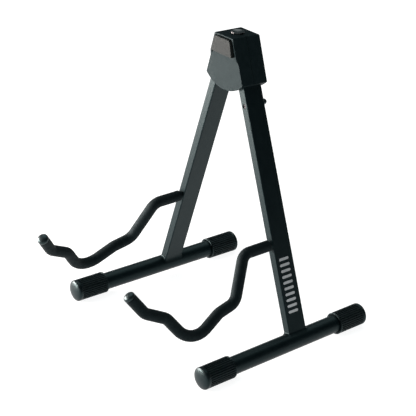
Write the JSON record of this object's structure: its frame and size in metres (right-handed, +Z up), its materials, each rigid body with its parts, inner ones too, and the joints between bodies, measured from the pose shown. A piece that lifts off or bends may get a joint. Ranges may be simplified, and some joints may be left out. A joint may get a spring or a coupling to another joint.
{
  "type": "guitar stand",
  "caption": "Folding A-frame floor stand for a guitar: two legs hinged in a moulded head with a push button, foam-covered cradle arms and floor tubes with rubber feet.",
  "frame": {"origin": "on the floor, under the middle of the open stand's bounding box", "axes": "+Z up, -Y towards the player's side where the arms reach out, +X to the right seen from there"},
  "size_m": [0.3328, 0.3828, 0.4229],
  "materials": {
    "moulding": "black glass-filled nylon, fine moulded grain",
    "button": "black, smooth",
    "pad": "soft warm-grey foam rubber",
    "coated_steel": "satin black powder coat",
    "foot_rubber": "black, moulded",
    "tip_rubber": "black, satin",
    "sleeve_foam": "black closed-cell foam",
    "nylon": "black nylon",
    "zinc": "zinc plated",
    "black_screw": "black oxide"
  },
  "bodies": {
    "head": {"head_front_shell": "moulding", "head_rear_shell": "moulding", "head_pad": "pad", "shell_screw_upper_left": "black_screw", "shell_screw_upper_right": "black_screw", "shell_screw_lower": "black_screw", "left_pivot_bolt": "black_screw", "right_pivot_bolt": "black_screw", "left_pivot_nut": "zinc", "right_pivot_nut": "zinc", "spring_plate": "zinc", "button_spring": "zinc"},
    "lock": {"push_button": "button", "button_stem": "zinc", "lock_wedge": "nylon", "stem_clip": "zinc"},
    "left_leg": {"left_leg_tube": "coated_steel", "left_leg_plug": "nylon", "left_pivot_bush": "nylon", "left_leg_weld": "coated_steel", "left_floor_tube": "coated_steel", "left_front_foot_cap": "foot_rubber", "left_rear_foot_cap": "foot_rubber", "left_arm_rod": "coated_steel", "left_arm_weld": "coated_steel", "left_arm_sleeve": "sleeve_foam", "left_arm_tip_cap": "tip_rubber"},
    "right_leg": {"right_leg_tube": "coated_steel", "right_leg_plug": "nylon", "right_pivot_bush": "nylon", "right_leg_weld": "coated_steel", "right_floor_tube": "coated_steel", "right_front_foot_cap": "foot_rubber", "right_rear_foot_cap": "foot_rubber", "right_arm_rod": "coated_steel", "right_arm_weld": "coated_steel", "right_arm_sleeve": "sleeve_foam", "right_arm_tip_cap": "tip_rubber", "right_leg_screw": "black_screw", "right_leg_screw_nut": "tip_rubber"}
  },
  "joints": [
    {"name": "left_leg_fold", "type": "hinge", "parent": "head", "child": "left_leg", "pos_m": [-0.017, 0.06743, 0.3872], "axis": [0, -1, 0], "range_deg": [0, 19.1]},
    {"name": "right_leg_fold", "type": "hinge", "parent": "head", "child": "right_leg", "pos_m": [0.017, 0.06743, 0.3872], "axis": [0, 1, 0], "range_deg": [0, 19.1]},
    {"name": "button_press", "type": "slide", "parent": "head", "child": "lock", "axis": [0, 0, -1], "range_m": [0, 0.004], "stiffness_N_per_m": 600, "springref_m": -0.003, "deforming": ["button_spring"]}
  ]
}
